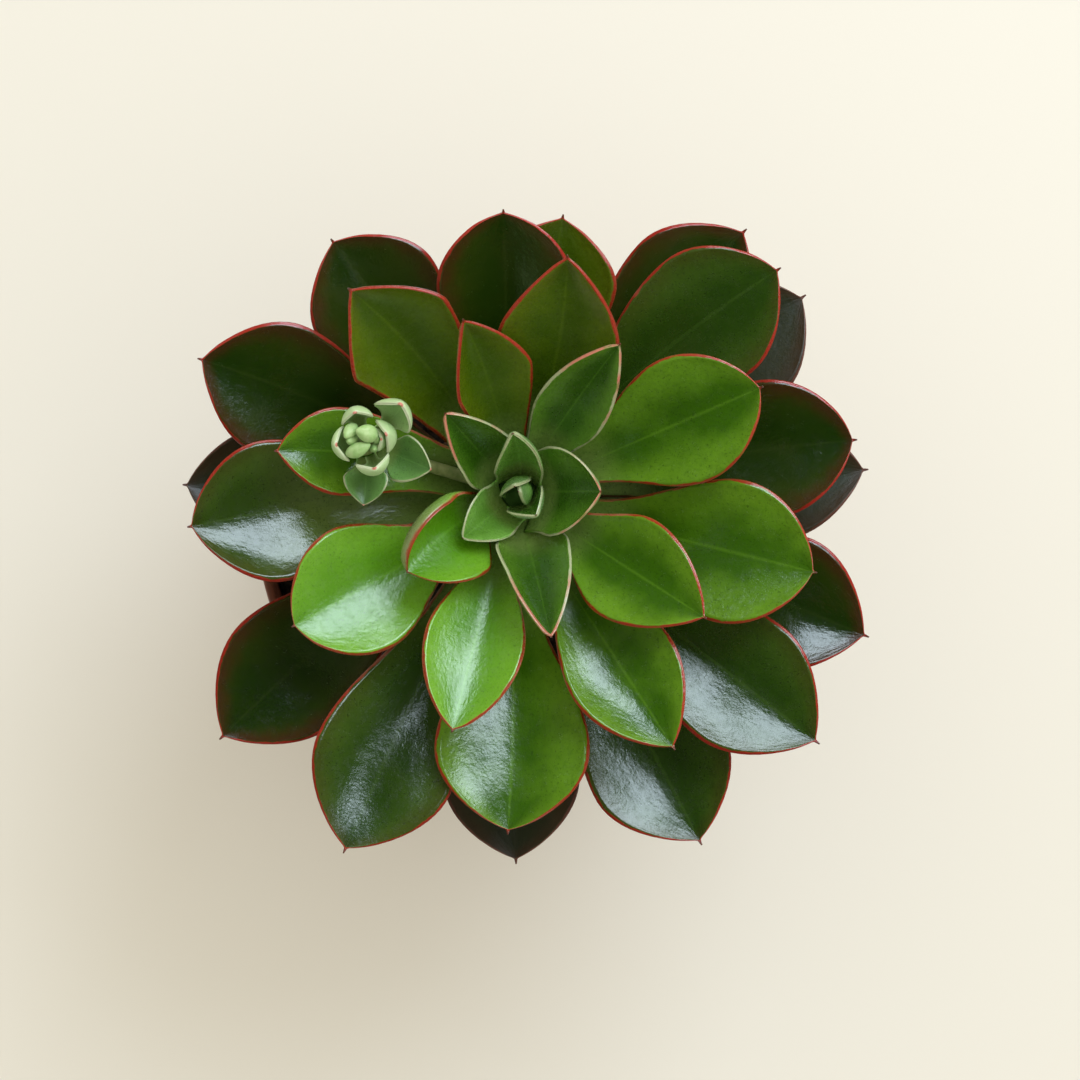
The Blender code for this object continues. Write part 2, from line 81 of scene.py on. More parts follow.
STALK_AZIMUTH = 157.0
STALK_HEIGHT = 142.2
STALK_POINTS = ((-12.0, 13.1, 146.0), (-19.5, 15.3, 149.8), (-27.0, 17.8, 153.8), (-32.0, 19.8, 157.0))
SHOOT_X = -34.3
SHOOT_Y = 20.8
SHOOT_BOTTOM = 160.0
SHOOT_TOP = 170.0
SHOOT_RADIUS = 3.6
SOIL_TOP = 103.0
DRAIN_HOLES = 6
DRAIN_RADIUS = 4.0
DRAIN_CIRCLE = 25.4

# ---- fineness of the visible pieces ----
BLADE_STEPS = 44
POINT_STEPS = 16
BLADE_COLUMNS = 26
RIM_POINTS = 3
BRACT_STEPS = 26
BRACT_COLUMNS = 16
BUD_STEPS = 24
BUD_TURNS = 40
STEM_STEPS = 90
STEM_TURNS = 48
POT_TURNS = 144
SOIL_RINGS = 34

# ---- unevenness of the real plant and its soil ----
MARGIN_WAVE = 0.5
WAVE_SIZE = 11.0
SWELL = 0.9
SWELL_SIZE = 17.0
MIDRIB_SOFTNESS = 0.16
SCAR_DEPTH = 0.35
FURROW_DEPTH = 0.09
SOIL_EDGE = 62.6
SOIL_SINK = 0.7
LUMP_HEIGHT = 1.2
GRAIN_HEIGHT = 0.5
CRUMBS = 900
CRUMB_SPREAD = 61.0
CRUMB_SEED = 7

# ---- light and camera, in metres and watts ----
WINDOW_AZIMUTH = 55.0
WINDOW_RISE = 50.0
WINDOW_DISTANCE = 1.6
WINDOW_SIZE = 0.8
WINDOW_POWER = 11.4
WINDOW_COLOUR = (0.80, 0.90, 1.0)
MIRRORED_AZIMUTH = 60.0
MIRRORED_WIDTH = 1.15
MIRRORED_HEIGHT = 0.70
MIRRORED_POWER = 18.0
MIRRORED_COLOUR = (0.74, 0.87, 1.0)
ROOM_LIGHT = 0.98
ROOM_COLOUR = (1.0, 0.94, 0.79)
FLOOR_SIZE = 3.0
FLOOR_COLOUR = (0.775, 0.76, 0.72)
CAMERA_PLACE = (0.0099, -0.0040, 0.950)
CAMERA_LENS = 104.0

# look: the finish of the leaf, one of LOOKS, where backlit and stalked also hold painted light and shade.
# wave: how strongly its margins undulate. The other fields mean what they do in the CAD model, and 13 of the
# leaves hold other values in them. Most azimuths and lengths are rounded results of a fit to the places of
# the real leaf tips, and weren't chosen by hand.
Leaf = namedtuple(
    "Leaf",
    "look wave node azimuth length half_width base widest pitch tip_pitch "
    "sweep roll curl_left curl_right end corner",
    defaults=(END_POWER, 0.0),
)

LEAVES = (
    Leaf("heart", 0, 0, 15, 12, 3.8, 0.90, 0.45, 94, 112, 0, 0, 14, 14),
    Leaf("heart", 0, 1, 130, 14, 4.8, 0.90, 0.45, 84, 104, -20, 0, 16, 16),
    Leaf("heart", 0, 2, 305, 14, 6.8, 0.80, 0.50, 66, 80, 0, 0, 55, 55),
    Leaf("heart", 0, 3, 85, 26, 7.6, 0.85, 0.45, 60, 70, 30, 0, 40, 80),
    Leaf("heart", 0, 4, 220, 20, 8.0, 0.85, 0.45, 46, 44, 0, 0, 35, 60),
    Leaf("young", 0, 5, 2, 25, 13.0, 0.85, 0.50, 44, 52, -4, 0, 42, 42, 0.55),
    Leaf("young", 0.3, 6, 132, 32, 9.8, 0.70, 0.45, 50, 44, 0, 0, 70, 50),
    Leaf("young", 0.2, 7, 284, 42, 10.8, 0.38, 0.38, 42, 38, 0, 0, 28, 75),
    Leaf("young", 2.1, 8, 58, 52, 9.8, 0.42, 0.55, 42, 38, -8, 0, 44, 24),
    Leaf("fresh", 0.3, 9, 204, 36, 15.2, 0.34, 0.56, 44, 32, 30, 0, 20, 118, 0.42),
    Leaf("mid", 0.6, 10, 327, 60, 14.5, 0.27, 0.60, 34, 28, 0, 0, 24, 24),
    Leaf("backlit", 0.6, 11, 98, 52, 12.0, 0.30, 0.64, 41, 43, 18, 8, 56, 20, 0.86, 0.6),
    Leaf("fresh", 0.9, 12, 256, 62, 13.4, 0.28, 0.62, 31, 24, 0, 0, 24, 24, 0.75),
    Leaf("mid", 0.5, 13, 23, 69, 17.0, 0.24, 0.70, 30, 24, 0, 0, 20, 20, 0.65),
    Leaf("mid", 0.6, 14, 158, 59, 11.5, 0.50, 0.72, 27, 20, 26, 0, 20, 20),
    Leaf("mid", 0.8, 15, 303, 75, 15.0, 0.23, 0.68, 26, 20, 0, 0, 20, 20),
    Leaf("backlit", 0.8, 16, 66, 68, 16.0, 0.22, 0.66, 36, 40, 23, 0, 16, 24, 0.75, 0.6),
    Leaf("fresh", 0.8, 17, 214, 61, 17.5, 0.24, 0.68, 26, 20, -6, 0, 20, 20, 0.60),
    Leaf("mid", 0.8, 18, 346, 77, 19.0, 0.19, 0.72, 22, 16, 0, 0, 20, 20, 0.65),
    Leaf("backlit", 0.8, 19, 116, 68, 17.0, 0.22, 0.74, 30, 34, 26, 0, 24, 45, 0.86, 0.9),
    Leaf("mid", 0.6, 20, 274, 81, 20.5, 0.18, 0.74, 18, 12, -8, 0, 20, 20, 0.75),
    Leaf("deep", 0.6, 21, 46, 88, 18.5, 0.22, 0.76, 22, 18, -14, 0, 20, 20, 0.75),
    Leaf("stalked", 0.8, 22, 180, 77, 19.0, 0.28, 0.72, 21, 15, 12, 0, 26, 20, 0.75),
    Leaf("deep", 0.6, 23, 322, 97, 18.5, 0.22, 0.74, 16, 10, 0, 0, 20, 20),
    Leaf("dusky", 0.6, 24, 88, 74, 18.0, 0.23, 0.74, 26, 34, 4, 0, 20, 20, 0.60),
    Leaf("deep", 0.6, 25, 246, 95, 19.0, 0.21, 0.74, 19, 14, 0, 0, 9, 20),
    Leaf("dusky", 0.8, 26, 13, 87, 18.5, 0.22, 0.74, 14, 12, -8, 0, 20, 20, 0.65),
    Leaf("dusky", 0.6, 27, 148, 82, 18.0, 0.20, 0.74, 19, 20, 16, -9, 14, 20),
    Leaf("deep", 0.8, 28, 303, 97, 19.5, 0.165, 0.76, 11, 6, -6, 0, 20, 20),
    Leaf("backlit", 0.6, 29, 75, 72, 17.5, 0.23, 0.78, 20, 26, 5, 0, 20, 20),
    Leaf("dusky", 0.6, 30, 217, 89, 18.5, 0.21, 0.72, 12, 8, 8, 0, 20, 20),
    Leaf("dusky", 0.8, 31, 342, 96, 18.5, 0.165, 0.76, 10, 8, -5, 0, 20, 20),
    Leaf("dusky", 0.6, 32, 118, 76, 18.5, 0.22, 0.76, 17, 23, 10, 0, 20, 20, 0.75),
    Leaf("old", 0.8, 33, 273, 88, 18.5, 0.21, 0.74, 6, 2, 0, 0, 20, 20),
    Leaf("dusky", 0.6, 34, 50, 90, 17.5, 0.22, 0.76, 12, 12, -6, 0, 20, 20),
    Leaf("old", 0.8, 35, 177, 75, 16.5, 0.24, 0.72, 10, 8, 0, 0, 20, 20),
    Leaf("old", 0.6, 39, 5, 92, 17.0, 0.24, 0.74, 6, 6, 0, 0, 20, 20),
    Leaf("old", 0.6, 47, 31, 94, 18.5, 0.22, 0.78, 9, 7, 5, 0, 20, 20),
)

# A bract is a small leaf, and its node is its distance below the top of the shoot.
BRACTS = (
    Leaf("bract_green", 0, 9.0, 337, 16, 6.5, 0.40, 0.50, 20, 30, 0, 0, 40, 20),
    Leaf("bract_green", 0, 8.0, 274, 13, 6.0, 0.40, 0.50, 22, 16, -12, 0, 30, 30),
    Leaf("bract", 0, 7.0, 37, 20, 6.6, 0.22, 0.62, 22, 100, 22, 0, 50, 50),
    Leaf("bract", 0, 5.5, 13.5, 14, 5.2, 0.22, 0.60, 42, 120, 10, 0, 50, 50),
    Leaf("bract", 0, 4.5, 295, 13, 5.6, 0.26, 0.60, 30, 115, -10, 0, 60, 60),
    Leaf("bract", 0, 4.0, 190, 10, 5.4, 0.35, 0.60, 34, 115, 0, 0, 50, 50),
    Leaf("bract", 0, 3.5, 104, 12, 5.0, 0.35, 0.60, 30, 120, 0, 0, 55, 55),
    Leaf("bract", 0, 2.5, 3, 8, 3.4, 0.35, 0.60, 60, 110, 0, 0, 50, 50),
)

# Each bud's place from the middle of the shoot, its height above the shoot's top, its radius and length,
# and the way that its tip leans: azimuth and rise.
BUDS = (
    (1.2, 1.7, 5.2, 2.3, 6.6, 165, 38),
    (-3.0, 2.3, 3.8, 1.7, 6.0, 235, 48),
    (-2.6, 0.1, 2.8, 1.5, 5.4, 200, 70),
    (-1.0, -2.3, 3.8, 1.9, 7.0, 22, 20),
    (3.6, 0.2, 2.6, 1.2, 4.6, 80, 75),
    (2.8, -2.0, 2.2, 1.1, 4.2, 300, 80),
)

# A leaf's finish, with painted shade and light in the backlit and stalked looks. edge_tone, mid_tone: blade
# colour near the margins and along the midrib. inner_rim, outer_rim: rim colour before and after turn_at, a
# share
# of the length. rim_width: its width. flush: strength of the dark red flush inside the rim. under: colour of
# the
# underside. gloss: roughness of the wax. tip: colour of the point, from the share tip_from. base_to: the
# share where the pale base ends.
Look = namedtuple(
    "Look",
    "edge_tone mid_tone inner_rim outer_rim turn_at rim_width flush under gloss tip tip_from base_to",
    defaults=((0.13, 0.035, 0.02), 0.982, 0.42),
)

RED = (0.40, 0.020, 0.012)
ROSE = (0.50, 0.13, 0.085)
PINK = (0.62, 0.22, 0.16)
CREAM = (0.46, 0.50, 0.30)
PALE = (0.62, 0.70, 0.50)
DULL = (0.16, 0.05, 0.03)
LEAF_BASE = (0.17, 0.26, 0.06)
FLUSH = (0.060, 0.016, 0.006)
LOOKS = {
    "heart": Look(
        (0.190, 0.430, 0.075), (0.075, 0.205, 0.018), CREAM, CREAM,
        0.5, 0.30, 0.0, (0.13, 0.26, 0.08), 0.26,
    ),
    "young": Look(
        (0.080, 0.200, 0.014), (0.024, 0.080, 0.003), CREAM, PINK,
        0.62, 0.34, 0.0, (0.16, 0.26, 0.09), 0.22,
    ),
    "fresh": Look(
        (0.160, 0.400, 0.022), (0.088, 0.275, 0.005), PINK, RED,
        0.1, 0.42, 0.03, (0.20, 0.26, 0.10), 0.27,
    ),
    "mid": Look(
        (0.112, 0.260, 0.010), (0.033, 0.108, 0.001), ROSE, RED,
        0.2, 0.42, 0.06, (0.14, 0.17, 0.07), 0.20,
    ),
    # backlit: painted shade and a painted glow of light shining through, as darker, yellower tones for the
    # leaves on the window's side, whose upper faces turn away from it
    "backlit": Look(
        (0.090, 0.150, 0.002), (0.042, 0.088, 0.0005), RED, RED,
        0.2, 0.80, 0.25, (0.17, 0.17, 0.06), 0.27,
    ),
    "deep": Look(
        (0.042, 0.090, 0.007), (0.017, 0.050, 0.002), ROSE, RED,
        0.3, 0.44, 0.30, (0.10, 0.09, 0.04), 0.22,
    ),
    "dusky": Look(
        (0.024, 0.044, 0.002), (0.010, 0.030, 0.001), DULL, RED,
        0.3, 0.52, 0.80, (0.09, 0.07, 0.03), 0.19,
    ),
    "old": Look(
        (0.030, 0.032, 0.008), (0.018, 0.026, 0.004), DULL, DULL,
        0.3, 0.50, 0.5, (0.06, 0.05, 0.03), 0.46,
    ),
    # stalked: the long pale base, set by base_to, is partly the petiole's own pale colour and partly painted
    # light and sheen on it
    "stalked": Look(
        (0.044, 0.086, 0.010), (0.022, 0.052, 0.003), ROSE, RED,
        0.3, 0.44, 0.30, (0.10, 0.09, 0.04), 0.19, base_to=0.80,
    ),
    "bract_green": Look(
        (0.12, 0.28, 0.06), (0.055, 0.150, 0.025), CREAM, CREAM,
        0.4, 0.28, 0.0, (0.30, 0.46, 0.22), 0.38, PINK, 0.97,
    ),
    "bract": Look(
        (0.42, 0.62, 0.28), (0.30, 0.52, 0.20), PALE, PALE,
        0.6, 0.30, 0.0, (0.44, 0.62, 0.32), 0.42, PINK, 0.965,
    ),
}


# ---- materials ----


def add_node(tree, kind, inputs, **settings):
    """New node; each input is a value or the output socket that feeds it."""
    node = tree.nodes.new(kind)
    for name, value in settings.items():
        setattr(node, name, value)
    for name, value in inputs.items():
        if isinstance(value, bpy.types.NodeSocket):
            tree.links.new(value, node.inputs[name])
        else:
            node.inputs[name].default_value = value
    return node


def mix(tree, factor, first, second):
    """Colour mix of two sockets or colours."""
    ends = [end if isinstance(end, bpy.types.NodeSocket) else (*end, 1.0) for end in (first, second)]
    inputs = {0: factor, 6: ends[0], 7: ends[1]}
    return add_node(tree, "ShaderNodeMix", inputs, data_type="RGBA").outputs[2]


def fade(tree, value, start, end, low=0.0, high=1.0):
    """Smooth step of a value from start to end."""
    inputs = {"Value": value, "From Min": start, "From Max": end, "To Min": low, "To Max": high}
    return add_node(tree, "ShaderNodeMapRange", inputs, interpolation_type="SMOOTHSTEP").outputs[0]


def maths(tree, operation, first, second=0.0):
    """Result of arithmetic on two sockets or numbers."""
    return add_node(tree, "ShaderNodeMath", {0: first, 1: second}, operation=operation).outputs[0]


def grain(tree, vector, scale, detail=3.0, roughness=0.55):
    """Cloudy value from 0 to 1, with this many clouds to a unit of the vector."""
    inputs = {"Vector": vector, "Scale": scale, "Detail": detail, "Roughness": roughness}
    return add_node(tree, "ShaderNodeTexNoise", inputs).outputs["Fac"]


def place_in_mm(tree):
    """Place on the piece, in millimetres."""
    place = tree.nodes.new("ShaderNodeTexCoord").outputs["Object"]
    return add_node(tree, "ShaderNodeVectorMath", {0: place, "Scale": 1 / MM}, operation="SCALE").outputs[0]


def new_material(name, roughness, specular=0.5, coat=0.0):
    """Material and its tree, with the constants set on its shader."""
    material = bpy.data.materials.new(name)
    material.use_nodes = True
    shader = material.node_tree.nodes["Principled BSDF"]
    shader.inputs["Roughness"].default_value = roughness
    shader.inputs["Specular IOR Level"].default_value = specular
    shader.inputs["Coat Weight"].default_value = coat
    shader.inputs["Coat Roughness"].default_value = 0.22
    return material, material.node_tree, shader


def add_bump(tree, shader, height, depth, strength=1.0):
    """Bump of this depth in millimetres."""
    inputs = {"Height": height, "Distance": depth * MM, "Strength": strength}
    tree.links.new(add_node(tree, "ShaderNodeBump", inputs).outputs[0], shader.inputs["Normal"])


def blade_colour(tree, look, place, side, share, pale):
    """Darker along the middle, lighter outside and at the base, mottled, with fine dark specks."""
    cloud = fade(tree, grain(tree, place, 0.09), 0.3, 0.7, -0.22, 0.22)
    tone = maths(tree, "ADD", fade(tree, side, 0.06, 0.48), cloud)
    colour = mix(tree, tone, look.mid_tone, look.edge_tone)
    # pale leaf base; in the stalked look it reaches far and also paints light and sheen on the petiole
    colour = mix(tree, fade(tree, share, look.base_to, 0.5 * look.base_to, 0.0, 0.8), colour, LEAF_BASE)
    colour = mix(tree, fade(tree, side, 0.022, 0.0, 0.0, 0.22), colour, pale)
    mottle = fade(tree, grain(tree, place, 0.9, 4.0), 0.45, 0.75, 0.0, 0.35)
    colour = mix(tree, mottle, colour, look.mid_tone)
    specks = fade(tree, grain(tree, place, 2.2, 0.0), 0.70, 0.76, 0.0, 0.45)
    return mix(tree, specks, colour, tuple(0.35 * part for part in look.mid_tone))


def add_flush(tree, look, place, share, depth, pale, colour):
    """Dark red flush inside the rim, and a pale line beside the rim."""
    wander = maths(tree, "MULTIPLY", grain(tree, place, 0.22), 6.0)
    flushed = fade(tree, maths(tree, "SUBTRACT", depth, wander), 4.5, -3.5)
    flushed = maths(tree, "MULTIPLY", flushed, fade(tree, share, 0.25, 0.85, 0.0, look.flush))
    colour = mix(tree, flushed, colour, FLUSH)
    return mix(tree, fade(tree, depth, 2.2 * look.rim_width, 0.9 * look.rim_width, 0.0, 0.35), colour, pale)


def rim_colour(tree, look, place, share, pale):
    """Colour of the rim: pale at the base of the leaf, and turning redder toward its tip."""
    turn = maths(tree, "ADD", share, fade(tree, grain(tree, place, 0.12, 2.0), 0.3, 0.7, -0.2, 0.2))
    inner = mix(tree, fade(tree, share, 0.08, 0.30), pale, look.inner_rim)
    return mix(tree, fade(tree, turn, look.turn_at, look.turn_at + 0.35), inner, look.outer_rim)


def add_wax(tree, shader, look, place, blade):
    """Patches of bloom that are less shiny, and a skin with fine wrinkles and cells."""
    wax = fade(tree, grain(tree, place, 0.5, 6.0, 0.7), 0.40, 0.72, look.gloss - 0.04, look.gloss + 0.10)
    tree.links.new(wax, shader.inputs["Roughness"])
    stretched = add_node(tree, "ShaderNodeMapping", {"Vector": blade, "Scale": (14.0, 22.0, 1.0)}).outputs[0]
    cells = maths(tree, "MULTIPLY", grain(tree, place, 1.5), 0.45)
    add_bump(tree, shader, maths(tree, "ADD", grain(tree, stretched, 1.3, 3.0, 0.5), cells), 0.24, 0.55)


def leaf_material(name, look):
    """Waxy leaf. The blade map holds (across, along), the edge map (centimetres from margin, underside)."""
    material, tree, shader = new_material(name, look.gloss, 0.8, 0.3)
    place = place_in_mm(tree)
    blade = add_node(tree, "ShaderNodeUVMap", {}, uv_map="blade").outputs[0]
    edge = add_node(tree, "ShaderNodeUVMap", {}, uv_map="edge").outputs[0]
    across, share = add_node(tree, "ShaderNodeSeparateXYZ", {"Vector": blade}).outputs[:2]
    depth, underside = add_node(tree, "ShaderNodeSeparateXYZ", {"Vector": edge}).outputs[:2]
    side = maths(tree, "ABSOLUTE", maths(tree, "SUBTRACT", across, 0.5))
    depth = maths(tree, "MULTIPLY", depth, 10.0)
    pale = tuple(min(1.0, 1.35 * part + 0.008) for part in look.edge_tone)

    colour = blade_colour(tree, look, place, side, share, pale)
    colour = add_flush(tree, look, place, share, depth, pale, colour)
    rim_tone = rim_colour(tree, look, place, share, pale)
    rim_depth = maths(tree, "ADD", depth, fade(tree, grain(tree, place, 0.2), 0.3, 0.7, -0.25, 0.25))
    rimmed = fade(tree, rim_depth, look.rim_width, 0.35 * look.rim_width, 0.0, 0.92)
    colour = mix(tree, rimmed, colour, rim_tone)
    under = mix(tree, fade(tree, share, 0.2, 0.9), pale, look.under)
    under = mix(tree, fade(tree, rim_depth, 0.9, 0.1, 0.0, 0.7), under, rim_tone)
    colour = mix(tree, underside, colour, under)
    colour = mix(tree, fade(tree, share, look.tip_from, look.tip_from + 0.014), colour, look.tip)
    tree.links.new(colour, shader.inputs["Base Color"])
    add_wax(tree, shader, look, place, blade)
    return material


def waxy_material(name, colour, dark, roughness):
    """Pale waxy skin between two tones."""
    material, tree, shader = new_material(name, roughness, 0.4)
    place = place_in_mm(tree)
    tone = fade(tree, grain(tree, place, 0.5, 4.0), 0.3, 0.7)
    tree.links.new(mix(tree, tone, dark, colour), shader.inputs["Base Color"])
    add_bump(tree, shader, grain(tree, place, 2.5, 3.0), 0.06, 0.5)
    return material


def bark_material():
    """Brown bark that turns green toward the tip of the stem."""
    material, tree, shader = new_material("stem_bark", 0.75, 0.3)
    place = place_in_mm(tree)
    tone = fade(tree, grain(tree, place, 0.6, 5.0, 0.65), 0.35, 0.68)
    colour = mix(tree, tone, (0.045, 0.035, 0.018), (0.17, 0.14, 0.07))
    height = add_node(tree, "ShaderNodeSeparateXYZ", {"Vector": place}).outputs[2]
    colour = mix(tree, fade(tree, height, 128.0, 146.0), colour, (0.05, 0.13, 0.02))
    tree.links.new(colour, shader.inputs["Base Color"])
    add_bump(tree, shader, grain(tree, place, 0.9, 6.0, 0.65), 0.5, 0.8)
    return material


def soil_material(name, dark, light):
    """Crumbly earth or bark between two tones."""
    material, tree, shader = new_material(name, 0.92, 0.2)
    place = place_in_mm(tree)
    tone = fade(tree, grain(tree, place, 0.8, 6.0, 0.7), 0.35, 0.7)
    tree.links.new(mix(tree, tone, dark, light), shader.inputs["Base Color"])
    add_bump(tree, shader, grain(tree, place, 1.6, 6.0, 0.7), 0.8, 0.9)
    return material


def pot_material():
    """Brown moulded plastic with a little dust."""
    material, tree, shader = new_material("pot_moulded_plastic", 0.42, 0.5)
    place = place_in_mm(tree)
    tone = fade(tree, grain(tree, place, 0.05, 5.0), 0.3, 0.7)
    colour = mix(tree, tone, (0.165, 0.050, 0.026), (0.20, 0.064, 0.034))
    dust = fade(tree, grain(tree, place, 0.3, 6.0, 0.7), 0.58, 0.78, 0.0, 0.25)
    colour = mix(tree, dust, colour, (0.27, 0.15, 0.10))
    tree.links.new(colour, shader.inputs["Base Color"])
    rough = fade(tree, grain(tree, place, 0.4, 4.0), 0.3, 0.7, 0.36, 0.52)
    tree.links.new(rough, shader.inputs["Roughness"])
    add_bump(tree, shader, grain(tree, place, 2.2, 3.0), 0.05, 0.6)
    return material


# ---- shapes ----


def direction(azimuth, pitch=0.0):
    """Unit vector at an azimuth from +X and a rise above the level, both in degrees."""
    turn = math.radians(azimuth)
    rise = math.radians(pitch)
    return Vector((math.cos(rise) * math.cos(turn), math.cos(rise) * math.sin(turn), math.sin(rise)))


def loft(name, rings, material, uvs=None):
    """Closed smooth mesh through rings of points, with a UV pair for each point in each named map."""
    count = len(rings[0])
    faces = []
    for number in range(len(rings) - 1):
        for step in range(count):
            here = number * count + step
            beside = number * count + (step + 1) % count
            faces.append((here, here + count, beside + count, beside))
    faces.append(tuple(range(count)))
    last = (len(rings) - 1) * count
    faces.append(tuple(reversed(range(last, last + count))))
    mesh = bpy.data.meshes.new(name)
    mesh.from_pydata([point * MM for ring in rings for point in ring], [], faces)
    for map_name, pairs in (uvs or {}).items():
        layer = mesh.uv_layers.new(name=map_name)
        for loop in mesh.loops:
            layer.data[loop.index].uv = pairs[loop.vertex_index]
    mesh.shade_smooth()
    mesh.materials.append(material)
    item = bpy.data.objects.new(name, mesh)
    bpy.context.scene.collection.objects.link(item)
    return item


def mesh_object(name, form):
    """Object in the scene from a bmesh, which it frees."""
    mesh = bpy.data.meshes.new(name)
    form.to_mesh(mesh)
    form.free()
    item = bpy.data.objects.new(name, mesh)
    bpy.context.scene.collection.objects.link(item)
    return item


def stands_for(item, node):
    """The piece rides with the only body, in the place of this CAD node."""
    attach(item, "root")
    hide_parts(node)


def stem_axis(height):
    """Point on the stem's axis at this height."""
    share = max(0.0, (height - STEM_LEAN_FROM) / (STEM_TOP - STEM_LEAN_FROM))
    x = STEM_AT_SOIL[0] + share * (STEM_AT_TOP[0] - STEM_AT_SOIL[0])
    y = STEM_AT_SOIL[1] + share * (STEM_AT_TOP[1] - STEM_AT_SOIL[1])
    return Vector((x, y, height))


def stem_radius(height):
    """Radius of the stem at this height."""
    share = min(1.0, max(0.0, (STEM_TOP - height) / STEM_TAPER_LENGTH))
    return STEM_TIP_RADIUS + (STEM_RADIUS - STEM_TIP_RADIUS) * share**STEM_TAPER_POWER


def stem_seat(point):
    """Nearest point on the stem's axis, and the radius there of the face that leaves sit on."""
    low = stem_axis(STEM_LEAN_FROM)
    along = (stem_axis(STEM_TOP) - low).normalized()
    foot = low + along * (point - low).dot(along)
    return foot, stem_radius(foot.z) + CLEARANCE


def shoot_centre(height):
    """Point on the shoot's axis at this height."""
    return Vector((SHOOT_X, SHOOT_Y, height))


def shoot_seat(point):
    """Nearest point on the shoot's axis, and the radius of the face that bracts sit on."""
    return shoot_centre(point.z), SHOOT_RADIUS + CLEARANCE


def size_factor(leaf):
    """Scale of the thickness and of the point: 1 for a full-size leaf, and less for a short young one."""
    return math.sqrt(min(1.0, leaf.length / FULL_SIZE_LENGTH))


def half_width(leaf, share):
    """Half-width at this share of the length: narrow base, broad blade, blunt end and fine point."""
    if share < leaf.widest:
        reach = share / leaf.widest
        rise = math.sin(math.pi / 2 * reach**SHOULDER) ** 2
        rise += leaf.corner * (reach - rise)
        body = leaf.base + (1 - leaf.base) * rise
    else:
        reach = min(1.0, (share - leaf.widest) / (BODY_END - leaf.widest))
        body = (1 - reach**2) ** leaf.end
        body += leaf.corner * (1 - reach**CORNER_POWER - body)
    taper = min(1.0, (1 - share) / (1 - POINT_START))
    point = POINT_WIDTH * taper * size_factor(leaf) + POINT_END_WIDTH
    return max(body * leaf.half_width, point)


def thickness(leaf, share, side):
    """Thickness at this share of the length, from right margin (-1) to left margin (1)."""
    filled = BASE_THICKNESS_SHARE + (1 - BASE_THICKNESS_SHARE) * min(1.0, share / FORMED_BY)
    middle = LEAF_THICKNESS * filled * (1 - TIP_THINNING * share**3)
    full = MARGIN_THICKNESS + (middle - MARGIN_THICKNESS) * (1 - side**2)
    point = min(1.0, 0.2 + 0.8 * (1 - share) / (1 - POINT_THINS_FROM))
    return full * point * size_factor(leaf)


def leaf_frame(leaf, share):
    """Outward, left and up directions of a leaf at this share of its length."""
    azimuth = leaf.azimuth + leaf.sweep * share
    outward = direction(azimuth, leaf.pitch + (leaf.tip_pitch - leaf.pitch) * share)
    left = direction(azimuth + 90)
    left.rotate(Quaternion(outward, math.radians(leaf.roll * min(1.0, share / FORMED_BY))))
    return outward, left, outward.cross(left)


def cross_section(leaf, share, side):
    """Across and up offsets of the upper surface, and its tilt, from right margin (-1) to left margin (1)."""
    curl = leaf.curl_left if side > 0 else leaf.curl_right
    fold = math.radians(MIDRIB_FOLD)
    turn = math.radians(curl * min(1.0, BASE_CURL + share) + PETIOLE_CHANNEL * (1 - share) ** 2)
    tilt = fold + turn * abs(side)
    width = half_width(leaf, share)
    across = width * (math.sin(tilt) - math.sin(fold)) / turn
    up = width * (math.cos(fold) - math.cos(tilt)) / turn
    soft = width * MIDRIB_SOFTNESS
    if across < soft:
        up += math.tan(fold) * (soft - across) ** 2 / (2 * soft)
    return math.copysign(across, side), up, math.copysign(tilt, side)


def stations(blade_steps, point_steps):
    """Shares of a leaf's length, closer together at its point."""
    body = [POINT_START * step / blade_steps for step in range(blade_steps)]
    return body + [POINT_START + (1 - POINT_START) * step / point_steps for step in range(point_steps + 1)]


def rim(top, bottom, normal, outward, sign):
    """Points of the rounded margin from the upper to the lower surface."""
    middle = (top + bottom) / 2
    radius = (top - bottom).length / 2
    out = normal.cross(outward).normalized() * -sign
    points = []
    for step in range(1, RIM_POINTS + 1):
        turn = math.pi * step / (RIM_POINTS + 1)
        points.append(middle + (top - middle) * math.cos(turn) + out * radius * 0.9 * math.sin(turn))
    return points


def leaf_ring(leaf, share, middle, outward, sides, seed):
    """Points around a leaf at this share of its length: upper side, left rim, lower side, right rim."""
    _, left, up = leaf_frame(leaf, share)
    width = half_width(leaf, share)
    along = share * leaf.length
    upper = []
    lower = []
    normals = []
    for side in sides:
        across, rise, tilt = cross_section(leaf, share, side)
        wave = noise.noise(Vector((along / WAVE_SIZE, side, seed)))
        rise += MARGIN_WAVE * leaf.wave * wave * abs(side) ** 3 * math.sin(math.pi * min(1.0, share * 1.1))
        swell = noise.noise(Vector((along / SWELL_SIZE, side * width / SWELL_SIZE * 1.4, seed + 40)))
        rise += SWELL * swell * size_factor(leaf) ** 2 * min(1.0, share / 0.4)
        point = middle + left * across + up * rise
        normal = up * math.cos(tilt) - left * math.sin(tilt)
        upper.append(point)
        lower.append(point - normal * thickness(leaf, share, side))
        normals.append(normal)
    left_rim = rim(upper[-1], lower[-1], normals[-1], outward, 1)
    right_rim = rim(upper[0], lower[0], normals[0], outward, -1)
    return upper + left_rim + lower[::-1] + right_rim[::-1]


def ring_uvs(share, width, sides):
    """UV pairs of a ring: places on the blade, and depths from the margin with the side of the blade."""
    top = [(0.5 + side / 2, share) for side in sides]
    depths = [width * (1 - abs(side)) / 10 for side in sides]
    blade = top + [(1.0, share)] * RIM_POINTS + top[::-1] + [(0.0, share)] * RIM_POINTS
    margin = [(0.0, 0.0)] * RIM_POINTS
    edge = [(depth, 0.0) for depth in depths] + margin + [(depth, 1.0) for depth in depths[::-1]] + margin
    return blade, edge


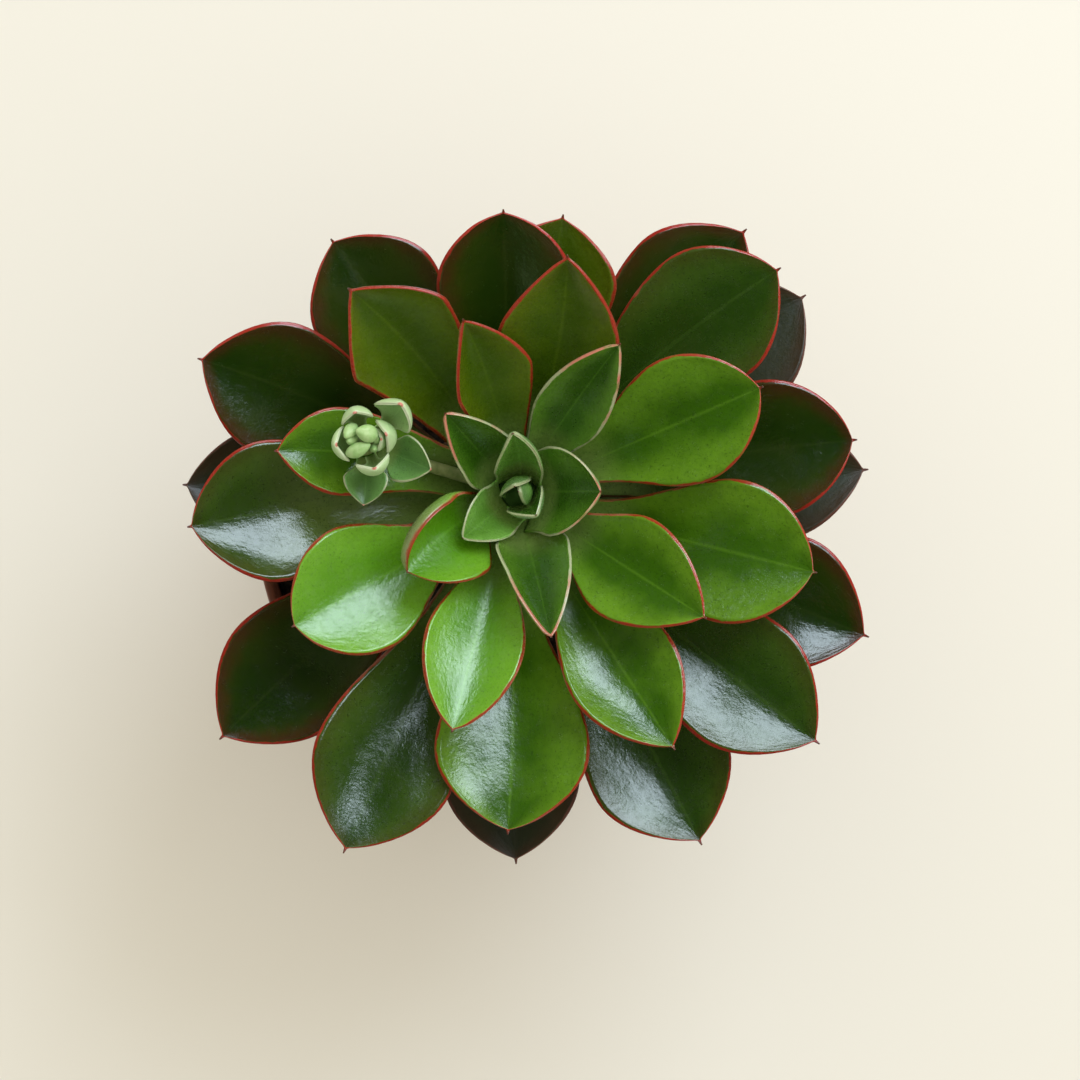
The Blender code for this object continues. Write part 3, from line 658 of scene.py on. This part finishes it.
def leaf_rings(leaf, start, seat, shares, columns, seed):
    """Rings of points around a leaf, and their UV pairs; its foot stays outside what carries it."""
    sides = [2 * column / columns - 1 for column in range(columns + 1)]
    middle = start + direction(leaf.azimuth) * seat(start)[1]
    previous = 0.0
    rings = []
    uvs = {"blade": [], "edge": []}
    for share in shares:
        outward = leaf_frame(leaf, (share + previous) / 2)[0]
        middle = middle + outward * leaf.length * (share - previous)
        previous = share
        rings.append(leaf_ring(leaf, share, middle, outward, sides, seed))
        for pairs, new_pairs in zip(uvs.values(), ring_uvs(share, half_width(leaf, share), sides)):
            pairs += new_pairs
    for point in rings[0]:
        foot, radius = seat(point)
        away = point - foot
        if away.length < radius:
            point += away.normalized() * (radius - away.length)
    return rings, uvs


def add_leaves(materials):
    """All the leaves of the rosette, from the heart outward."""
    shares = stations(BLADE_STEPS, POINT_STEPS)
    for number, leaf in enumerate(LEAVES, start=1):
        node = f"leaf_{number:02d}"
        start = stem_axis(FIRST_LEAF_HEIGHT - LEAF_SPACING * leaf.node)
        rings, uvs = leaf_rings(leaf, start, stem_seat, shares, BLADE_COLUMNS, number * 7.3)
        stands_for(loft(f"{node}_blade", rings, materials[leaf.look], uvs), node)


def add_bracts(materials):
    """The small leaves around the flower shoot."""
    shares = stations(BRACT_STEPS, POINT_STEPS // 2)
    for number, bract in enumerate(BRACTS, start=1):
        start = shoot_centre(SHOOT_TOP - bract.node)
        rings, uvs = leaf_rings(bract, start, shoot_seat, shares, BRACT_COLUMNS, number * 3.1)
        item = loft(f"bract_{number}_blade", rings, materials[bract.look], uvs)
        stands_for(item, f"bract_{number}")


def add_buds(material):
    """Egg-shaped buds with the shallow furrows where their petals meet."""
    for number, (x, y, rise, radius, length, azimuth, pitch) in enumerate(BUDS, start=1):
        outward = direction(azimuth, pitch)
        left = direction(azimuth + 90)
        up = outward.cross(left)
        middle = Vector((SHOOT_X + x, SHOOT_Y + y, SHOOT_TOP + rise))
        rings = []
        for step in range(BUD_STEPS + 1):
            share = step / BUD_STEPS
            wide = radius * math.sin(math.pi * (0.02 + 0.96 * share) ** 0.85) ** 0.7
            ring = []
            for turn in range(BUD_TURNS):
                angle = 2 * math.pi * turn / BUD_TURNS
                furrow = 1 - FURROW_DEPTH * abs(math.cos(1.5 * angle + 0.8 * share)) ** 10
                across = left * math.cos(angle) + up * math.sin(angle)
                ring.append(middle + outward * (share - 0.5) * length + across * wide * furrow)
            rings.append(list(reversed(ring)))
        item = loft(f"bud_{number}_petals", rings, material)
        stands_for(item, f"bud_{number}")


def add_stem(material):
    """Stem with the shallow scars of fallen leaves."""
    rings = []
    for step in range(STEM_STEPS + 1):
        height = STEM_BOTTOM + (STEM_TOP - STEM_BOTTOM) * step / STEM_STEPS
        full = stem_radius(height)
        ring = []
        for turn in range(STEM_TURNS):
            azimuth = 360 * turn / STEM_TURNS
            bumps = noise.noise(Vector((azimuth / 28, height / 3.2, 5.0)))
            radius = full - SCAR_DEPTH * max(0.0, bumps) * min(1.0, full / 4)
            ring.append(stem_axis(height) + direction(azimuth) * radius)
        rings.append(ring[::-1])
    stands_for(loft("stem_bark", rings, material), "stem")


def add_flower_stalk(material):
    """Stalk out of the axil and its fleshy top, as a tube along a smooth curve."""
    outward = direction(STALK_AZIMUTH)
    start = stem_axis(STALK_HEIGHT) + outward * (stem_radius(STALK_HEIGHT) + STALK_RADIUS / 2 + CLEARANCE)
    middle = SHOOT_BOTTOM + (SHOOT_TOP - SHOOT_BOTTOM) * 0.6
    centres = [start] + [Vector(point) for point in STALK_POINTS]
    centres += [shoot_centre(height) for height in (SHOOT_BOTTOM, middle, SHOOT_TOP)]
    radii = [STALK_RADIUS] * (1 + len(STALK_POINTS)) + [SHOOT_RADIUS * 0.8, SHOOT_RADIUS, SHOOT_RADIUS * 0.7]
    curve = bpy.data.curves.new("flower_stalk_flesh", "CURVE")
    curve.dimensions = "3D"
    curve.bevel_depth = MM
    curve.bevel_resolution = 8
    curve.resolution_u = 16
    curve.use_fill_caps = True
    spline = curve.splines.new("BEZIER")
    spline.bezier_points.add(len(centres) - 1)
    for point, centre, radius in zip(spline.bezier_points, centres, radii):
        point.co = centre * MM
        point.radius = radius
        point.handle_left_type = "AUTO"
        point.handle_right_type = "AUTO"
    curve.materials.append(material)
    item = bpy.data.objects.new("flower_stalk_flesh", curve)
    bpy.context.scene.collection.objects.link(item)
    stands_for(item, "flower_stalk")


def turned_ring(radius, height_at):
    """Points around the pot's axis, each at the height that height_at gives for its x and y."""
    ring = []
    for turn in range(POT_TURNS):
        point = direction(-360 * turn / POT_TURNS) * radius
        ring.append(Vector((point.x, point.y, height_at(point.x, point.y))))
    return ring


def arc(centre, radius, start, end, steps):
    """(radius, height) points along an arc, with its angles in degrees."""
    points = []
    for step in range(steps + 1):
        turn = direction(0, start + (end - start) * step / steps) * radius
        points.append((centre[0] + turn.x, centre[1] + turn.z))
    return points


def add_pot(material):
    """Thin moulded pot with a rolled rim, a drafted collar and a foot ring, and holes in its floor."""
    # floor with its rounded corner, inner wall and shoulder
    profile = [(0.02, 3.4), (40.0, 3.4), *arc((40.5, 7.4), 4.0, -90, -10, 6)]
    profile += [(58.9, 94.6), (60.6, 96.4), (63.1, 99.0), (63.4, 101.0)]
    # rolled rim, and the outside of the collar
    profile += [*arc((64.8, 113.8), 1.2, 180, -60, 12), (65.25, 111.6), (65.2, 98.3)]
    profile += arc((64.4, 97.9), 0.8, 0, -60, 4)
    # outer wall, foot ring and centre pad
    profile += [(62.9, 96.3), (62.45, 95.6), (46.6, 2.2), *arc((45.2, 1.2), 1.2, -15, -90, 5)]
    profile += [(37.8, 0.0), (37.0, 1.6), (13.8, 1.6), (13.0, 0.0), (0.02, 0.0)]
    rings = [turned_ring(radius, lambda x, y, height=height: height) for radius, height in profile]
    pot = loft("pot_shell", rings, material)
    for number in range(DRAIN_HOLES):
        form = bmesh.new()
        radius = DRAIN_RADIUS * MM
        bmesh.ops.create_cone(form, cap_ends=True, segments=32, radius1=radius, radius2=radius, depth=16 * MM)
        place = direction(360 / DRAIN_HOLES * number) * DRAIN_CIRCLE * MM
        bmesh.ops.translate(form, verts=form.verts, vec=place)
        cutter = mesh_object("drain_cutter", form)
        boolean = pot.modifiers.new("Drain", "BOOLEAN")
        boolean.object = cutter
        bpy.context.view_layer.objects.active = pot
        bpy.ops.object.modifier_apply(modifier=boolean.name)
        bpy.data.objects.remove(cutter, do_unlink=True)
    pot.data.shade_smooth()
    pot.data.set_sharp_from_angle(angle=math.radians(35))
    stands_for(pot, "pot")


def soil_height(x, y):
    """Height of the uneven soil surface."""
    place = Vector((x, y, 0.0))
    lumps = noise.noise(place / 9.0) * LUMP_HEIGHT + noise.noise(place / 2.6) * GRAIN_HEIGHT
    return SOIL_TOP - SOIL_SINK + lumps


def add_soil(material):
    """Uneven soil that fills the top of the pot."""
    rings = [turned_ring(54.0, lambda x, y: 60.0)]
    for step in range(SOIL_RINGS):
        rings.append(turned_ring(SOIL_EDGE * (1 - step / SOIL_RINGS) + 0.05, soil_height))
    stands_for(loft("soil_bed", rings, material), "soil")


def add_loose_bits(chance, name, count, smallest, largest, material):
    """Loose rough bits that lie on the soil, as one piece."""
    form = bmesh.new()
    for _ in range(count):
        radius = CRUMB_SPREAD * math.sqrt(chance.uniform(0.02, 1.0))
        place = direction(chance.uniform(0, 360)) * radius
        size = chance.uniform(smallest, largest)
        shape = bmesh.ops.create_icosphere(form, subdivisions=1, radius=1.0)["verts"]
        axis = direction(chance.uniform(0, 360), chance.uniform(-90, 90))
        turn = Quaternion(axis, chance.uniform(0, math.pi))
        flat = Vector((1.0, chance.uniform(0.5, 0.9), chance.uniform(0.3, 0.7)))
        middle = place + Vector((0, 0, soil_height(place.x, place.y) + 0.2 * size))
        for vertex in shape:
            rough = 1 + 0.35 * noise.noise(vertex.co * 1.7 + place)
            point = vertex.co * flat * size * rough
            point.rotate(turn)
            vertex.co = (middle + point) * MM
    item = mesh_object(name, form)
    item.data.materials.append(material)
    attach(item, "root")


def main():
    """The whole plant in its pot."""
    leaf_materials = {name: leaf_material(name + "_finish", look) for name, look in LOOKS.items()}
    add_leaves(leaf_materials)
    add_bracts(leaf_materials)
    add_buds(waxy_material("bud_wax", (0.42, 0.60, 0.28), (0.28, 0.48, 0.17), 0.45))
    add_stem(bark_material())
    add_flower_stalk(waxy_material("stalk_wax", (0.36, 0.40, 0.17), (0.20, 0.27, 0.09), 0.45))
    add_soil(soil_material("potting_soil", (0.010, 0.007, 0.005), (0.045, 0.030, 0.020)))
    crumb_earth = soil_material("crumb_earth", (0.014, 0.009, 0.006), (0.070, 0.045, 0.028))
    bark_chip = soil_material("bark_chip", (0.050, 0.026, 0.013), (0.150, 0.085, 0.045))
    chance = random.Random(CRUMB_SEED)
    add_loose_bits(chance, "soil_crumbs", CRUMBS, 0.5, 1.5, crumb_earth)
    add_loose_bits(chance, "soil_bark_chips", CRUMBS // 6, 1.4, 3.2, bark_chip)
    add_pot(pot_material())


def add_world():
    """Warm light from the room, brighter on the window's side, that nothing mirrors."""
    world = bpy.data.worlds.new("room")
    world.use_nodes = True
    tree = world.node_tree
    coordinates = tree.nodes.new("ShaderNodeTexCoord")
    parts = add_node(tree, "ShaderNodeSeparateXYZ", {"Vector": coordinates.outputs["Generated"]}).outputs
    toward = direction(WINDOW_AZIMUTH)
    across, along = (maths(tree, "MULTIPLY", part, share) for part, share in zip(parts[:2], toward[:2]))
    facing = maths(tree, "ADD", across, along)
    background = tree.nodes["Background"]
    background.inputs["Color"].default_value = (*ROOM_COLOUR, 1.0)
    strength = fade(tree, facing, -1.0, 1.0, 0.55 * ROOM_LIGHT, 1.45 * ROOM_LIGHT)
    tree.links.new(strength, background.inputs["Strength"])
    world.cycles_visibility.glossy = False
    bpy.context.scene.world = world


def add_window(name, azimuth, width, height, power, colour):
    """Area light that faces the plant."""
    light = bpy.data.lights.new(name, "AREA")
    light.shape = "RECTANGLE"
    light.size = width
    light.size_y = height
    light.energy = power
    light.color = colour
    window = bpy.data.objects.new(name, light)
    toward = direction(azimuth, WINDOW_RISE)
    window.location = toward * WINDOW_DISTANCE
    window.rotation_euler = toward.to_track_quat("Z", "Y").to_euler()
    bpy.context.scene.collection.objects.link(window)
    return window


def add_stage():
    """Pale floor, soft window light from the far right, the room, and the camera above.

    One window lights the plant and isn't mirrored. The other, wider one is only mirrored.
    """
    mesh = bpy.data.meshes.new("floor")
    corners = [(-FLOOR_SIZE, -FLOOR_SIZE, 0), (FLOOR_SIZE, -FLOOR_SIZE, 0)]
    corners += [(FLOOR_SIZE, FLOOR_SIZE, 0), (-FLOOR_SIZE, FLOOR_SIZE, 0)]
    mesh.from_pydata(corners, [], [(0, 1, 2, 3)])
    floor = bpy.data.objects.new("floor", mesh)
    bpy.context.scene.collection.objects.link(floor)
    material, _, shader = new_material("floor_cloth", 0.9, 0.2)
    shader.inputs["Base Color"].default_value = (*FLOOR_COLOUR, 1.0)
    mesh.materials.append(material)

    window = add_window("window", WINDOW_AZIMUTH, WINDOW_SIZE, WINDOW_SIZE, WINDOW_POWER, WINDOW_COLOUR)
    window.visible_glossy = False
    mirrored = add_window(
        "mirrored_window", MIRRORED_AZIMUTH, MIRRORED_WIDTH, MIRRORED_HEIGHT, MIRRORED_POWER, MIRRORED_COLOUR
    )
    mirrored.visible_diffuse = False
    add_world()

    camera_data = bpy.data.cameras.new("camera")
    camera_data.lens = CAMERA_LENS
    camera_data.sensor_width = 36.0
    camera = bpy.data.objects.new("camera", camera_data)
    camera.location = CAMERA_PLACE
    bpy.context.scene.collection.objects.link(camera)
    bpy.context.scene.camera = camera
    bpy.context.scene.view_settings.view_transform = "Standard"


main()
add_stage()
